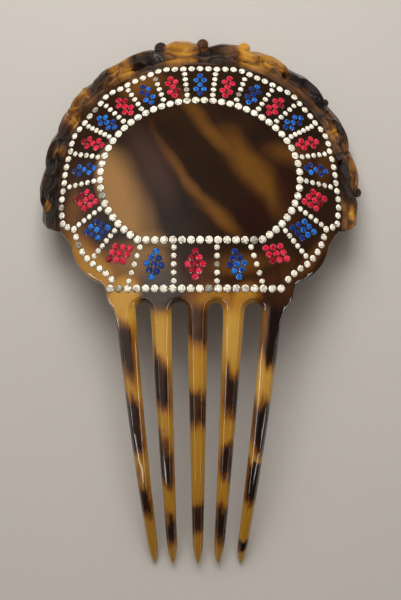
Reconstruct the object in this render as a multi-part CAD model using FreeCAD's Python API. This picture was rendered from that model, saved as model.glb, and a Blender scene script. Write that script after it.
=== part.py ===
import FreeCAD, Part
import math
import os

from FreeCAD import Rotation, Vector

# A back comb of imitation tortoiseshell, lying on its back with the set face up.
# X runs across the comb, Y from the tooth tips to the crest, Z up from the surface it lies on.
# Millimetres and degrees. Plan positions are measured from the highest point of the bend.

# The bend of the sheet
LENGTH_RADIUS = 175.0
CROSS_RADIUS = 105.0
SHEET = 3.2
STOCK_HALF_WIDTH = 64.0
STOCK_HALF_TURN = 40.0
HIGH = 60.0

# The head plate: an oval that is a little square at its corners, two lobes and a straight base
HEAD_CENTRE_Y = 40.0
HEAD_POWER = 2.2
PLATE_HALF_WIDTH = 53.0
PLATE_HALF_HEIGHT = 50.0
PLATE_STEPS = 72
EAR_TOP_Y = 31.0
EAR_SIDE = Vector(52.3, 26.0, 0)
EAR_FOOT = Vector(49.6, 23.6, 0)
LOBE_TOP = Vector(46.4, 22.4, 0)
LOBE_SIDE = Vector(42.6, 13.6, 0)
LOBE_FOOT = Vector(34.6, 8.4, 0)
BASE_HALF_WIDTH = 33.8
BASE_TOP_Y = 7.0
BASE_FOOT_Y = 2.4
BASE_CORNER = Vector(33.0, 0.6, 0)
SHOULDER_X = 30.9
ROOT_Y = -2.6

# The five teeth: where each is centred at its root and at its tip
TOOTH_ROOTS = (-27.1, -14.0, -0.8, 12.2, 26.4)
TOOTH_TIPS = (-17.4, -10.4, -0.8, 6.9, 15.5)
TOOTH_REACH = 99.2
TOOTH_WIDTH = 7.5
TOOTH_TAPER = 3.8
ROOT_FLARE = 0.6
ROOT_FLARE_LENGTH = 6.0
POINT_LENGTH = 11.0
TIP_THINNING = 0.42
ROOT_REBATE = 0.15
TOOTH_STATIONS = (-2.0, 2.0, 7.0, 14.0, 26.0, 40.0, 54.0, 68.0, 80.0, 88.6, 93.6, 96.8, 98.7)
BEVEL_START = 1.0
BEVEL_RUN = 9.0
SLOT_TOP_Y = 0.0
SLOT_BEVEL = 1.7

# Half of a tooth's section from the crown down: share of the half width, share of the thickness
TOOTH_SECTION = ((0.34, 0.0), (0.76, 0.18), (1.0, 0.52), (1.0, 0.74), (0.8, 1.0))

# The carved leaf border
BORDER_HALF_WIDTH = 57.0
BORDER_HALF_HEIGHT = 57.8
BORDER_POWER = 2.1
BORDER_FOOT_Y = 27.5
BORDER_LIP = 1.6
WINDOW_FOOT_Y = 0.0
BORDER_LIFT = 1.0
LEAF_LIFT = 2.6
LEAF_COUNT = 7
LEAF_LENGTH = 21.0
LEAF_GIRTH = 3.7
LEAF_TILT = 17.0
LEAF_FIRST_TURN = 100.0
LEAF_CREST_GAP = 0.35
LEAF_DEPTH = 1.2
BEAD_RADIUS = 2.5

# The stones: diameters, and the shape of one stone as shares of its diameter
ROW_STONE = 2.75
EDGE_STONE = 2.45
DIVIDER_STONE = 1.95
RUBY_LARGE = 2.4
RUBY_SMALL = 2.25
SAPPHIRE_LARGE = 2.2
SAPPHIRE_SMALL = 2.05
TABLE_SHARE = 0.52
CROWN_SHARE = 0.16
GIRDLE_SHARE = 0.04
PAVILION_SHARE = 0.42
SEAT_GAP = 0.03
SEAT_DEPTH = 0.12

# The inner ring of stones: an oval whose lower side is cut straight
RING_CENTRE_Y = 44.8
RING_HALF_WIDTH = 35.8
RING_HALF_HEIGHT = 28.6
RING_FLAT_Y = 21.9
RING_COUNT = 65

# The base row and the rows that divide the band around the oval into 22 cells
SET_OFFSET_X = -1.6
ROW_Y = 5.0
ROW_PITCH = 3.15
ROW_COUNT = 20
DIVIDER_TURNS = (7.0, 20.5, 34.0, 47.0, 60.0, 75.0, 91.5, 110.5, 127.5)
DIVIDER_LEAN = 8.0
LOW_DIVIDERS = ((18.6, 24.0), (7.5, 7.5))
DIVIDER_COUNT = 5
LONG_DIVIDER_COUNT = 6
DIVIDER_GAP = 0.25

# How finely the lines that stones are spaced along are worked out
LINE_STEPS = 200
LOBE_STEPS = 30
DIVIDER_STEPS = 20

# The edge line of stones, just inside the carved border and round the lobes
EDGE_HALF_WIDTH = 49.6
EDGE_HALF_HEIGHT = 46.4
EDGE_LOW_Y = 30.0
EDGE_EAR = Vector(49.6, 27.6, 0)
EDGE_NECK = Vector(45.3, 26.6, 0)
EDGE_LOBE_TOP = Vector(44.4, 24.0, 0)
EDGE_LOBE_SIDE = Vector(40.9, 16.8, 0)
EDGE_LOBE_FOOT = Vector(34.2, 11.4, 0)
EDGE_FOOT = Vector(30.9, 8.2, 0)
EDGE_COUNT = 79
SCALLOP = 0.9

# Clusters: the pitch along the cell and the pitch across it
DIAMOND_PITCH = (2.25, 1.3)
LOZENGE_PITCH = (2.5, 2.55)
LOZENGE_SKEW = 0.35
QUATREFOIL_PITCH = (2.05, 1.42)

UP = Vector(0, 0, 1)
AXIS_POINT = Vector(0, 0, -LENGTH_RADIUS)
AXIS = Vector(1, 0, 0)


def ring_radius(x):
    """Radius of the lengthwise bend at a distance x from the centre line."""
    return LENGTH_RADIUS - CROSS_RADIUS + math.sqrt(CROSS_RADIUS ** 2 - x * x)


def on_face(x, y):
    """The point of the polished face above the plan position x, y."""
    return Vector(x, y, math.sqrt(ring_radius(x) ** 2 - y * y) - LENGTH_RADIUS)


def normal(x, y):
    """The outward direction of the polished face at x, y."""
    across = ring_radius(x) * x / math.sqrt(CROSS_RADIUS ** 2 - x * x)
    return Vector(across, y, on_face(x, y).z + LENGTH_RADIUS).normalize()


def cross_arc(radius, side):
    """The two ends and the middle of an arc across the stock; side is the way it runs."""
    turn = side * math.asin(STOCK_HALF_WIDTH / radius)
    return [Vector(radius * math.sin(a), 0, radius * math.cos(a) - CROSS_RADIUS) for a in (-turn, 0, turn)]


def bent_layer(lift, depth):
    """A layer of the bent stock, from lift above the polished face to depth below it."""
    outer = cross_arc(CROSS_RADIUS + lift, 1)
    inner = cross_arc(CROSS_RADIUS - depth, -1)
    right = Part.makeLine(outer[2], inner[0])
    left = Part.makeLine(inner[2], outer[0])
    profile = Part.Face(Part.Wire([Part.Arc(*outer).toShape(), right, Part.Arc(*inner).toShape(), left]))
    profile.rotate(AXIS_POINT, AXIS, -STOCK_HALF_TURN)
    return profile.revolve(AXIS_POINT, AXIS, 2 * STOCK_HALF_TURN)


def prism(wire):
    """A tall upright prism on a plan outline."""
    wire.translate(Vector(0, 0, -HIGH))
    return Part.Face(wire).extrude(Vector(0, 0, 2 * HIGH))


def mirrored(point):
    return Vector(-point.x, point.y, point.z)


def oval(turn, half_width, half_height, power=HEAD_POWER):
    """A point of an oval round the head; turn is measured from the crest, to the right."""
    sine = math.sin(math.radians(turn))
    cosine = math.cos(math.radians(turn))
    x = half_width * math.copysign(abs(sine) ** (2 / power), sine)
    y = half_height * math.copysign(abs(cosine) ** (2 / power), cosine)
    return Vector(x, HEAD_CENTRE_Y + y, 0)


def turn_at(y, half_height, power=HEAD_POWER):
    """The turn at which an oval has come down to y."""
    share = (y - HEAD_CENTRE_Y) / half_height
    return math.degrees(math.acos(math.copysign(abs(share) ** (power / 2), share)))


def oval_edge(half_width, half_height, last_turn, power=HEAD_POWER):
    """The spline of an oval from the right of the head, over the crest, to the left."""
    turns = [last_turn - 2 * last_turn * i / PLATE_STEPS for i in range(PLATE_STEPS + 1)]
    curve = Part.BSplineCurve()
    curve.interpolate([oval(t, half_width, half_height, power) for t in turns])
    return curve.toShape()


def plate_outline():
    """The head plate's outline, with both lobes, the base and the roots of the teeth."""
    last = turn_at(EAR_TOP_Y, PLATE_HALF_HEIGHT)
    crest = oval_edge(PLATE_HALF_WIDTH, PLATE_HALF_HEIGHT, last)
    ear_top = oval(last, PLATE_HALF_WIDTH, PLATE_HALF_HEIGHT)
    base_top = Vector(BASE_HALF_WIDTH, BASE_TOP_Y, 0)
    base_foot = Vector(BASE_HALF_WIDTH, BASE_FOOT_Y, 0)
    shoulder = Vector(SHOULDER_X, ROOT_Y, 0)
    edges = [crest]
    for flip in (mirrored, Vector):
        edges += [
            Part.Arc(flip(ear_top), flip(EAR_SIDE), flip(EAR_FOOT)).toShape(),
            Part.makeLine(flip(EAR_FOOT), flip(LOBE_TOP)),
            Part.Arc(flip(LOBE_TOP), flip(LOBE_SIDE), flip(LOBE_FOOT)).toShape(),
            Part.makeLine(flip(LOBE_FOOT), flip(base_top)),
            Part.makeLine(flip(base_top), flip(base_foot)),
            Part.Arc(flip(base_foot), flip(BASE_CORNER), flip(shoulder)).toShape(),
        ]
    edges.append(Part.makeLine(shoulder, mirrored(shoulder)))
    return Part.Wire(Part.sortEdges(edges)[0])


def tooth_centre(tooth, reach):
    """Plan position of a tooth's centre line at a distance down the comb."""
    share = reach / TOOTH_REACH
    return TOOTH_ROOTS[tooth] + (TOOTH_TIPS[tooth] - TOOTH_ROOTS[tooth]) * share


def tooth_width(reach):
    """A tooth narrows evenly from its flared root, then comes to a round point."""
    width = TOOTH_WIDTH - TOOTH_TAPER * reach / TOOTH_REACH
    width += ROOT_FLARE * math.exp(-max(reach, 0) / ROOT_FLARE_LENGTH)
    into_point = (reach - TOOTH_REACH + POINT_LENGTH) / POINT_LENGTH
    if into_point > 0:
        width *= math.sqrt(1 - into_point ** 2)
    return width


def tooth(index):
    """One tooth: a skin over sections set square to the bent face, its root let into the plate."""
    sections = []
    for reach in TOOTH_STATIONS:
        x = tooth_centre(index, reach)
        out = normal(x, -reach)
        across = Vector(0, 1, 0).cross(out).normalize()
        half = tooth_width(reach) / 2
        cut = min(max((reach - BEVEL_START) / BEVEL_RUN, 0), 1)
        profile = [(1 - (1 - a) * cut, d) for a, d in TOOTH_SECTION]
        thick = SHEET * (1 - TIP_THINNING * max(reach, 0) / TOOTH_REACH)
        if reach < -ROOT_Y:
            thick -= 2 * ROOT_REBATE
        centre = on_face(x, -reach) - out * (SHEET - thick) / 2
        right = [centre + across * (half * a) - out * (thick * d) for a, d in profile]
        left = [centre - across * (half * a) - out * (thick * d) for a, d in reversed(profile)]
        sections.append(Part.makePolygon(right + left + right[:1]))
    return Part.makeLoft(sections, True, False)


def slot_cutters():
    """The round tops of the four slots, each with its bevel on the face."""
    cutters = []
    for left, right in zip(range(4), range(1, 5)):
        left_x = tooth_centre(left, 0) + tooth_width(0) / 2
        right_x = tooth_centre(right, 0) - tooth_width(0) / 2
        radius = (right_x - left_x) / 2
        x = (left_x + right_x) / 2
        y = SLOT_TOP_Y - radius
        out = normal(x, y)
        foot = on_face(x, y) - out * 2 * SHEET
        round_top = Part.makeCylinder(radius, 4 * SHEET, foot, out)
        tail = Part.makeBox(2 * radius, 2 * radius, 4 * SHEET, Vector(-radius, -2 * radius, 0))
        tail.Placement = FreeCAD.Placement(foot, Rotation(UP, out))
        bevel_depth = SHEET / 2
        cone_foot = on_face(x, y) - out * bevel_depth
        bevel = Part.makeCone(radius, radius + 2 * SLOT_BEVEL, 2 * bevel_depth, cone_foot, out)
        cutters += [round_top, tail, bevel]
    return cutters


def ring_points(count):
    """Stones of the inner ring: round the oval and back along its straight lower side."""
    flat = math.degrees(math.acos((RING_FLAT_Y - RING_CENTRE_Y) / RING_HALF_HEIGHT))
    turns = [-flat + 2 * flat * i / LINE_STEPS for i in range(LINE_STEPS + 1)]
    line = [ring_point(t) for t in turns]
    middle = Vector(0, RING_FLAT_Y, 0)
    return spaced([middle] + line + [middle], count + 1)[:-1]


def ring_point(turn):
    angle = math.radians(turn)
    return Vector(RING_HALF_WIDTH * math.sin(angle), RING_CENTRE_Y + RING_HALF_HEIGHT * math.cos(angle), 0)


def ring_heading(turn):
    """The direction, from the crest, in which a divider leaves the ring."""
    angle = math.radians(turn)
    straight_out = math.atan2(math.sin(angle) / RING_HALF_WIDTH, math.cos(angle) / RING_HALF_HEIGHT)
    return straight_out + math.radians(DIVIDER_LEAN) * math.sin(angle)


def spaced(line, count):
    """Points at equal distances along a plan line, measured on the bent face."""
    solid = [on_face(p.x, p.y) for p in line]
    reach = [0.0]
    for a, b in zip(solid, solid[1:]):
        reach.append(reach[-1] + a.distanceToPoint(b))
    found = []
    at = 0
    for i in range(count):
        target = reach[-1] * i / (count - 1)
        while at < len(line) - 2 and reach[at + 1] < target:
            at += 1
        share = (target - reach[at]) / (reach[at + 1] - reach[at])
        found.append(line[at] + (line[at + 1] - line[at]) * share)
    return found


def edge_line(scallop):
    """The edge line of stones from the left of the base, over the crest, to the right."""
    last = turn_at(EDGE_LOW_Y, EDGE_HALF_HEIGHT)
    turns = [last * i / LINE_STEPS for i in range(LINE_STEPS + 1)]
    half = []
    for turn in turns:
        point = oval(turn, EDGE_HALF_WIDTH, EDGE_HALF_HEIGHT)
        out = (point - Vector(0, HEAD_CENTRE_Y, 0)).normalize()
        half.append(point + out * scallop(turn))
    lobe = Part.Arc(EDGE_LOBE_TOP, EDGE_LOBE_SIDE, EDGE_LOBE_FOOT).discretize(Number=LOBE_STEPS)
    half += [EDGE_EAR, EDGE_NECK] + lobe + [EDGE_FOOT]
    return [mirrored(p) for p in reversed(half)] + half[1:]


def level(turn):
    """No scallop: used to find where the dividers end."""
    return 0.0


def divider_ends():
    """Both ends of each divider of the right half, from the crest down, in plan."""
    line = [p for p in edge_line(level) if p.x > 0]
    ends = []
    for turn in DIVIDER_TURNS:
        inner = ring_point(turn)
        heading = ring_heading(turn)
        ray = Vector(math.sin(heading), math.cos(heading), 0)
        ends.append((inner, max(line, key=lambda p: (p - inner).normalize().dot(ray))))
    for inner_x, outer_x in LOW_DIVIDERS:
        ends.append((Vector(inner_x, RING_FLAT_Y, 0), Vector(outer_x, ROW_Y, 0)))
    return ends


def scalloped(turn):
    """The edge line swells over each ruby cell. Cells are counted from the crest, which is blue."""
    bounds = [math.degrees(math.atan2(o.x, o.y - HEAD_CENTRE_Y)) for i, o in divider_ends()[:9]]
    bounds = [-bounds[0]] + bounds
    for cell, (low, high) in enumerate(zip(bounds, bounds[1:])):
        if cell % 2 and low <= turn < high:
            return SCALLOP * math.sin(math.pi * (turn - low) / (high - low))
    return 0.0


def shifted(point, share):
    """The settings of the base sit a little to the left of the centre line."""
    return point + Vector(SET_OFFSET_X * share, 0, 0)


def all_dividers():
    """The 22 dividers round the band, clockwise from the first one right of the crest."""
    right = divider_ends()
    low = len(right) - len(LOW_DIVIDERS)
    left = [(mirrored(a), mirrored(b)) for a, b in reversed(right)]
    both = []
    for index, (a, b) in enumerate(right):
        both.append((shifted(a, index >= low), shifted(b, index >= low)))
    for index, (a, b) in enumerate(left):
        both.append((shifted(a, index < len(LOW_DIVIDERS)), shifted(b, index < len(LOW_DIVIDERS))))
    return both


def stone(point, diameter):
    """One round paste stone, its girdle level with the face."""
    radius = diameter / 2
    crown = diameter * CROWN_SHARE
    girdle = diameter * GIRDLE_SHARE
    pavilion = diameter * PAVILION_SHARE
    profile = Part.makePolygon([
        Vector(0, 0, crown),
        Vector(radius * TABLE_SHARE, 0, crown),
        Vector(radius, 0, 0),
        Vector(radius, 0, -girdle),
        Vector(0, 0, -girdle - pavilion),
        Vector(0, 0, crown),
    ])
    solid = Part.Face(profile).revolve(Vector(0, 0, 0), UP, 360)
    solid.Placement = FreeCAD.Placement(on_face(point.x, point.y), Rotation(UP, normal(point.x, point.y)))
    return solid


def seat(point, diameter):
    """The drilled seat of one stone."""
    out = normal(point.x, point.y)
    depth = diameter * (GIRDLE_SHARE + PAVILION_SHARE) + SEAT_DEPTH
    foot = on_face(point.x, point.y) - out * depth
    return Part.makeCylinder(diameter / 2 + SEAT_GAP, depth + SHEET, foot, out)


def cluster(centre, along, places):
    """Plan positions of a cluster; along points outwards across the band."""
    middle = on_face(centre.x, centre.y)
    out = normal(centre.x, centre.y)
    lengthwise = (along - out * along.dot(out)).normalize()
    crosswise = out.cross(lengthwise)
    return [middle + lengthwise * a + crosswise * b for a, b in places]


def diamond():
    """Nine stones in rows of 1, 2, 3, 2 and 1."""
    along, across = DIAMOND_PITCH
    rows = ((-2, 1), (-1, 2), (0, 3), (1, 2), (2, 1))
    return [(r * along, (2 * i - n + 1) * across) for r, n in rows for i in range(n)]


def lozenge(side):
    """Nine stones in three rows of three, leaning with the cell."""
    along, across = LOZENGE_PITCH
    return [((a + LOZENGE_SKEW * side * b) * along, b * across) for a in (-1, 0, 1) for b in (-1, 0, 1)]


def quatrefoil():
    """Seven stones: one, a pair, one, a pair and one."""
    along, across = QUATREFOIL_PITCH
    return [(-2 * along, 0), (-along, -across), (-along, across), (0, 0), (along, -across), (along, across),
            (2 * along, 0)]


def stone_groups():
    """Every group of stones as name, plan positions and diameter."""
    groups = [
        ("inner_ring_stones", ring_points(RING_COUNT), ROW_STONE),
        ("edge_line_stones", spaced(edge_line(scalloped), EDGE_COUNT), EDGE_STONE),
    ]
    row_start = SET_OFFSET_X - ROW_PITCH * (ROW_COUNT - 1) / 2
    row = [Vector(row_start + ROW_PITCH * i, ROW_Y, 0) for i in range(ROW_COUNT)]
    groups.append(("base_row_stones", row, ROW_STONE))

    dividers = all_dividers()
    for index, (inner, outer) in enumerate(dividers):
        long_one = index in (4, 8, len(dividers) - 5, len(dividers) - 9)
        count = LONG_DIVIDER_COUNT if long_one else DIVIDER_COUNT
        next_stone = ROW_STONE if outer.y == ROW_Y else EDGE_STONE
        places = spaced(trimmed(inner, outer, next_stone), count)
        groups.append((f"divider_{index + 1:02d}_stones", places, DIVIDER_STONE))

    rubies = 0
    sapphires = 0
    for index, (inner, outer) in enumerate(dividers):
        last_inner, last_outer = dividers[index - 1]
        centre = (inner + outer + last_inner + last_outer) * 0.25
        along = (outer - inner).normalize() + (last_outer - last_inner).normalize()
        from_base = abs(index - len(dividers) / 2)
        side = 1 if index < len(dividers) / 2 else -1
        if from_base <= 1:
            places = diamond()
        elif from_base <= 4:
            places = lozenge(side)
        else:
            places = quatrefoil()
        large = from_base <= 4
        if index % 2:
            rubies += 1
            name = f"ruby_cluster_{rubies:02d}"
            size = RUBY_LARGE if large else RUBY_SMALL
        else:
            sapphires += 1
            name = f"sapphire_cluster_{sapphires:02d}"
            size = SAPPHIRE_LARGE if large else SAPPHIRE_SMALL
        groups.append((name, cluster(centre, along, places), size))
    return groups


def trimmed(inner, outer, next_stone):
    """A divider's line, shortened so that its end stones clear the ring and the next row."""
    total = on_face(inner.x, inner.y).distanceToPoint(on_face(outer.x, outer.y))
    first = ((ROW_STONE + DIVIDER_STONE) / 2 + DIVIDER_GAP) / total
    last = 1 - ((next_stone + DIVIDER_STONE) / 2 + DIVIDER_GAP) / total
    shares = [first + (last - first) * i / DIVIDER_STEPS for i in range(DIVIDER_STEPS + 1)]
    return [inner + (outer - inner) * share for share in shares]


def head_outline(half_width, half_height, power, foot_y):
    """A closed oval outline whose lower side is cut straight at foot_y."""
    last = turn_at(foot_y, half_height, power)
    crest = oval_edge(half_width, half_height, last, power)
    ends = [crest.valueAt(crest.FirstParameter), crest.valueAt(crest.LastParameter)]
    return Part.Wire([crest, Part.makeLine(ends[1], ends[0])])


def leaf(turn, side):
    """One carved leaf: a spindle that lies along the border and leans across it."""
    half_width = (BORDER_HALF_WIDTH + PLATE_HALF_WIDTH) / 2
    half_height = (BORDER_HALF_HEIGHT + PLATE_HALF_HEIGHT) / 2
    at = oval(side * turn, half_width, half_height, BORDER_POWER)
    ahead = oval(side * (turn - 1), half_width, half_height, BORDER_POWER)
    out = normal(at.x, at.y)
    along = on_face(ahead.x, ahead.y) - on_face(at.x, at.y)
    along = (along - out * along.dot(out)).normalize()
    along = Rotation(out, -side * LEAF_TILT).multVec(along)
    middle = on_face(at.x, at.y) - out * LEAF_DEPTH
    half = along * (LEAF_LENGTH / 2)
    arc = Part.Arc(middle - half, middle + out * LEAF_GIRTH, middle + half).toShape()
    face = Part.Face(Part.Wire([arc, Part.makeLine(middle + half, middle - half)]))
    bead_at = on_face(at.x, at.y) + along * (LEAF_LENGTH / 2) - out * BEAD_RADIUS / 2
    return [face.revolve(middle, along, 360), Part.makeSphere(BEAD_RADIUS, bead_at)]


def plate_body():
    """The head plate before it is cut for the slots and the stones."""
    return bent_layer(0, SHEET).common(prism(plate_outline()))


def leaf_border():
    """The carved border: a moulding round the head with a lip over the plate's edge, and its leaves."""
    outline = head_outline(BORDER_HALF_WIDTH, BORDER_HALF_HEIGHT, BORDER_POWER, BORDER_FOOT_Y)
    window = head_outline(PLATE_HALF_WIDTH - BORDER_LIP, PLATE_HALF_HEIGHT - BORDER_LIP, HEAD_POWER, WINDOW_FOOT_Y)
    hollow = [prism(window), plate_body()]
    moulding = bent_layer(BORDER_LIFT, SHEET).common(prism(outline)).cut(hollow)
    leaves = []
    for side in (1, -1):
        for index in range(LEAF_COUNT):
            leaves += leaf(LEAF_FIRST_TURN * (index + LEAF_CREST_GAP) / LEAF_COUNT, side)
    carving = moulding.fuse(leaves).common(bent_layer(LEAF_LIFT, SHEET))
    return carving.cut(hollow).removeSplitter()


def comb_blank(groups):
    """The head plate and teeth, one piece of bent sheet, with a seat for every stone."""
    seats = [seat(place, size) for name, places, size in groups for place in places]
    plate = plate_body().cut(Part.makeCompound(slot_cutters() + seats))
    return plate.fuse([tooth(i) for i in range(len(TOOTH_ROOTS))]).removeSplitter()


def main():
    groups = stone_groups()
    parts = {"comb_blank": comb_blank(groups), "leaf_border": leaf_border()}
    for name, places, size in groups:
        parts[name] = Part.makeCompound([stone(place, size) for place in places])

    extent = parts["comb_blank"].optimalBoundingBox(False)
    extent.add(parts["leaf_border"].optimalBoundingBox(False))
    to_origin = Vector(-extent.Center.x, -extent.Center.y, -extent.ZMin)
    os.makedirs("parts", exist_ok=True)
    for name, shape in parts.items():
        shape.translate(to_origin)
        shape.exportStep(f"parts/{name}.step")
        print(name, len(shape.Solids), shape.isValid(), round(shape.Volume, 1))
    print("size", round(extent.XLength, 2), round(extent.YLength, 2), round(extent.ZLength, 2), to_origin)


main()
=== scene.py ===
import math
import random

import bmesh
import bpy
from mathutils import Matrix, Vector


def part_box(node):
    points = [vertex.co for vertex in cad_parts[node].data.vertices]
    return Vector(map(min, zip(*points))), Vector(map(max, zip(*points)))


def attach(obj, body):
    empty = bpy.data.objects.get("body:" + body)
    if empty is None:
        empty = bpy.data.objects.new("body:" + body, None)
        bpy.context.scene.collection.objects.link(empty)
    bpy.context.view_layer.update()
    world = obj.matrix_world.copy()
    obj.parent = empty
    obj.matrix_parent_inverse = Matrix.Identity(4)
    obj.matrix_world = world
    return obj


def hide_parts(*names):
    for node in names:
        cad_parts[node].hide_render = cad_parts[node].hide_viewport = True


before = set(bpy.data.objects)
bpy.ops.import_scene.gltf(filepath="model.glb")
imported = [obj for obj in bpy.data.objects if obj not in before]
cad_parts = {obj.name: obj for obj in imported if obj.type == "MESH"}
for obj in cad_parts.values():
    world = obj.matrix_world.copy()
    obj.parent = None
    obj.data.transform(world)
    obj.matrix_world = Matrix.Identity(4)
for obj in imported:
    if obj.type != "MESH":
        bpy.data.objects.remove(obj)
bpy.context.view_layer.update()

# ---------------------------------------------------------------------------
# The table, the light and the camera.
# A pale plain table top, the soft light of a bright room, and a camera held
# straight above the highest point of the comb.
# ---------------------------------------------------------------------------
# Sizes and places here are in metres; from the comb blank on they are in millimetres from the apex, the
# highest point of the polished face, with x to the right and y towards the crest
MM = 0.001
blank_low, blank_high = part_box("comb_blank")
TEETH_LENGTH = 98.32
apex = Vector((0.0, blank_low.y + TEETH_LENGTH * MM, blank_high.z))

CAMERA_HEIGHT = 0.330
CAMERA_ASIDE = Vector((0.00017, 0.00104, 0.0))
VIEW_ANGLE = 34.8274
TABLE_SIZE = 8
TABLE_LEVEL = -0.0006
LAMP_AIM = Vector((0, 0.02, 0.02))
camera_data = bpy.data.cameras.new("camera")
camera_data.sensor_fit = "VERTICAL"
camera_data.angle = math.radians(VIEW_ANGLE)
camera_data.clip_start = 0.01
camera = bpy.data.objects.new("camera", camera_data)
camera.location = apex + CAMERA_ASIDE + Vector((0, 0, CAMERA_HEIGHT))
bpy.context.scene.collection.objects.link(camera)
bpy.context.scene.camera = camera
bpy.context.scene.view_settings.view_transform = "Standard"

bpy.ops.object.select_all(action="DESELECT")
bpy.ops.mesh.primitive_plane_add(size=TABLE_SIZE, location=(0, 0, TABLE_LEVEL))
table = bpy.context.object
table.name = "table"


class Value:
    """A node's output. Sums with it add Math nodes to its material."""

    def __init__(self, tree, socket):
        self.tree = tree
        self.socket = socket

    def node(self, kind, settings, inputs, output=0):
        """Any other node: its settings, with a ramp's stops, come before its sockets."""
        made = self.tree.nodes.new(kind)
        for name, value in settings.items():
            if name == "stops":
                ramp = made.color_ramp.elements
                while len(ramp) < len(value):
                    ramp.new(1.0)
                for stop, (place, colour) in zip(ramp, value):
                    stop.position = place
                    stop.color = colour if len(colour) == 4 else (*colour, 1)
            else:
                setattr(made, name, value)
        for name, value in inputs.items():
            if isinstance(value, Value):
                self.tree.links.new(value.socket, made.inputs[name])
            else:
                made.inputs[name].default_value = value
        return Value(self.tree, made.outputs[output])

    def sum(self, operation, first, second=0.0, third=0.0):
        return self.node("ShaderNodeMath", {"operation": operation}, {0: first, 1: second, 2: third})

    def __add__(self, other):
        return self.sum("ADD", self, other)

    def __radd__(self, other):
        return self.sum("ADD", other, self)

    def __sub__(self, other):
        return self.sum("SUBTRACT", self, other)

    def __rsub__(self, other):
        return self.sum("SUBTRACT", other, self)

    def __mul__(self, other):
        return self.sum("MULTIPLY", self, other)

    def __rmul__(self, other):
        return self.sum("MULTIPLY", other, self)

    def __truediv__(self, other):
        return self.sum("DIVIDE", self, other)

    def __pow__(self, other):
        return self.sum("POWER", self, other)

    def larger(self, other):
        return self.sum("MAXIMUM", self, other)

    def smaller(self, other):
        return self.sum("MINIMUM", self, other)

    def rise(self, start, end):
        """0 up to start and 1 from end on, with a soft change between."""
        inputs = {"Value": self, "From Min": start, "From Max": end}
        return self.node("ShaderNodeMapRange", {"interpolation_type": "SMOOTHSTEP"}, inputs)

    def mix(self, first, second):
        """The colour first where this is 0, and second where it is 1."""
        return self.node("ShaderNodeMix", {"data_type": "RGBA"}, {0: self, 6: first, 7: second}, 2)


def new_material(name):
    """A material, its Principled shader, and the place on the object in millimetres."""
    material = bpy.data.materials.new(name)
    material.use_nodes = True
    tree = material.node_tree
    shader = tree.nodes["Principled BSDF"]
    start = Value(tree, None)
    place = start.node("ShaderNodeTexCoord", {}, {}, 3)
    scaled = place.node("ShaderNodeVectorMath", {"operation": "SCALE"}, {0: place, "Scale": 1000.0})
    return material, shader, scaled


def plan_of(place):
    """The x and the y of a place."""
    return [place.node("ShaderNodeSeparateXYZ", {}, {0: place}, axis) for axis in (0, 1)]


def noise(place, scale, detail=2.0, roughness=0.5, stretch=(1.0, 1.0, 1.0)):
    """Noise from 0 to 1, scale waves to the millimetre, drawn out by stretch."""
    drawn = place.node("ShaderNodeVectorMath", {"operation": "MULTIPLY"}, {0: place, 1: stretch})
    inputs = {"Vector": drawn, "Scale": scale, "Detail": detail, "Roughness": roughness}
    return place.node("ShaderNodeTexNoise", {}, inputs)


def feed(shader, name, value):
    value.tree.links.new(value.socket, shader.inputs[name])


def feed_bump(shader, height, strength, distance):
    """Relief in the Normal socket; distance is in metres."""
    bump = height.node("ShaderNodeBump", {}, {"Height": height, "Strength": strength, "Distance": distance})
    feed(shader, "Normal", bump)


table_paint, table_shader, table_place = new_material("table_top")
table_x, table_y = plan_of(table_place)
table_grain = noise(table_place, 0.35, 3.0)
table_mottle = noise(table_place, 0.012, 2.0)
table_near = (table_mottle * 0.7 + table_grain * 0.3).mix((0.455, 0.430, 0.405, 1), (0.50, 0.475, 0.45, 1))
# Painted light: the table top is painted paler further from the comb, standing in for light that the lamps
# don't give out there
table_painted_light = ((table_x * table_x + table_y * table_y) ** 0.5).rise(250.0, 1500.0)
feed(table_shader, "Base Color", table_painted_light.mix(table_near, (0.86, 0.84, 0.80, 1)))
table_shader.inputs["Roughness"].default_value = 0.9
table_shader.inputs["Specular IOR Level"].default_value = 0.1
feed_bump(table_shader, noise(table_place, 1.6, 2.0), 0.15, 0.0002)
table.data.materials.append(table_paint)

# The room: bright on the left as the polish mirrors it, a soft warm fill, and a pale wall behind the table
room = bpy.data.worlds.new("room")
room.use_nodes = True
bpy.context.scene.world = room
room_tree = room.node_tree
sky = Value(room_tree, None).node("ShaderNodeTexCoord", {}, {}, 0)
bright_side = Vector((-0.60, 0.05, 0.80)).normalized()
towards = sky.node("ShaderNodeVectorMath", {"operation": "DOT_PRODUCT"}, {0: sky, 1: bright_side}, 1)
mirrored_room = towards.rise(0.62, 1.0).mix((0.02, 0.02, 0.02, 1), (0.46, 0.46, 0.46, 1))
seen_by_camera = sky.node("ShaderNodeLightPath", {}, {}, 0)
seen_in_gloss = sky.node("ShaderNodeLightPath", {}, {}, 3)
soft_fill = seen_by_camera.mix((0.27, 0.235, 0.20, 1), (0.62, 0.60, 0.57, 1))
room_light = seen_in_gloss.mix(soft_fill, mirrored_room)
room_tree.links.new(room_light.socket, room_tree.nodes["Background"].inputs["Color"])
room_tree.nodes["Background"].inputs["Strength"].default_value = 1.0


def lamp(name, place, size, power, colour, glossy=True, diffuse=True):
    """A soft rectangular lamp aimed at the head of the comb."""
    data = bpy.data.lights.new(name, "AREA")
    data.shape = "RECTANGLE"
    data.size = size[0]
    data.size_y = size[1]
    data.energy = power
    data.color = colour
    made = bpy.data.objects.new(name, data)
    made.location = place
    made.rotation_euler = (LAMP_AIM - Vector(place)).to_track_quat("-Z", "Y").to_euler()
    made.visible_glossy = glossy
    made.visible_diffuse = diffuse
    bpy.context.scene.collection.objects.link(made)


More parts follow.
